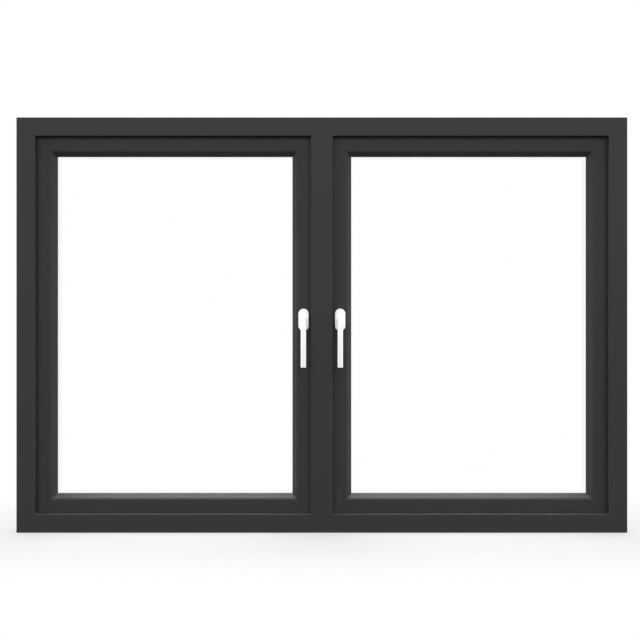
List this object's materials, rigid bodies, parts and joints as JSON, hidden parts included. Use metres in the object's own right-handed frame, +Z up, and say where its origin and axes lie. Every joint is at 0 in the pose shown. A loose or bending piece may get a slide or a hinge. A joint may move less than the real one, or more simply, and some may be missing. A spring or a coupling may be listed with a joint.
{
  "type": "double casement window",
  "caption": "Wide casement window in dark grey plastic profiles: mitred frame with a central mullion, beaded double-glazed sashes and white lever handles that turn.",
  "frame": {"origin": "on the underside of the sill, below the mullion, in the middle of the frame's depth", "axes": "+X to the right seen from the room, +Y from the room to the outside, +Z up"},
  "size_m": [1.765, 0.116, 1.2],
  "materials": {
    "frame_profile": "dark grey foil, matt",
    "sash_profile": "dark grey foil, matt",
    "bead": "dark grey foil, matt",
    "glass": "clear float glass",
    "spacer": "dark warm-edge spacer and edge seal",
    "block": "plain plastic",
    "gasket": "matt black rubber",
    "steel": "satin steel",
    "handle": "white powder coat, satin"
  },
  "bodies": {
    "window": {"frame_head": "frame_profile", "frame_sill": "frame_profile", "frame_left_jamb": "frame_profile", "frame_right_jamb": "frame_profile", "mullion": "frame_profile", "left_sash_top_rail": "sash_profile", "left_sash_bottom_rail": "sash_profile", "left_sash_hinge_stile": "sash_profile", "left_sash_lock_stile": "sash_profile", "left_bead_top": "bead", "left_bead_bottom": "bead", "left_bead_hinge_side": "bead", "left_bead_lock_side": "bead", "left_inner_pane": "glass", "left_outer_pane": "glass", "left_glass_spacer": "spacer", "left_setting_blocks": "block", "left_glazing_gaskets": "gasket", "left_weather_seals": "gasket", "left_top_stay": "steel", "left_bottom_stay": "steel", "left_handle_base": "handle", "right_sash_top_rail": "sash_profile", "right_sash_bottom_rail": "sash_profile", "right_sash_hinge_stile": "sash_profile", "right_sash_lock_stile": "sash_profile", "right_bead_top": "bead", "right_bead_bottom": "bead", "right_bead_hinge_side": "bead", "right_bead_lock_side": "bead", "right_inner_pane": "glass", "right_outer_pane": "glass", "right_glass_spacer": "spacer", "right_setting_blocks": "block", "right_glazing_gaskets": "gasket", "right_weather_seals": "gasket", "right_top_stay": "steel", "right_bottom_stay": "steel", "right_handle_base": "handle"},
    "left_handle": {"left_handle_lever": "handle", "left_handle_spindle": "steel"},
    "right_handle": {"right_handle_lever": "handle", "right_handle_spindle": "steel"}
  },
  "joints": [
    {"name": "left_handle_turn", "type": "hinge", "parent": "window", "child": "left_handle", "pos_m": [-0.05275, -0.017, 0.615], "axis": [0, 1, 0], "range_deg": [0, 90]},
    {"name": "right_handle_turn", "type": "hinge", "parent": "window", "child": "right_handle", "pos_m": [0.05275, -0.017, 0.615], "axis": [0, -1, 0], "range_deg": [0, 90]}
  ]
}
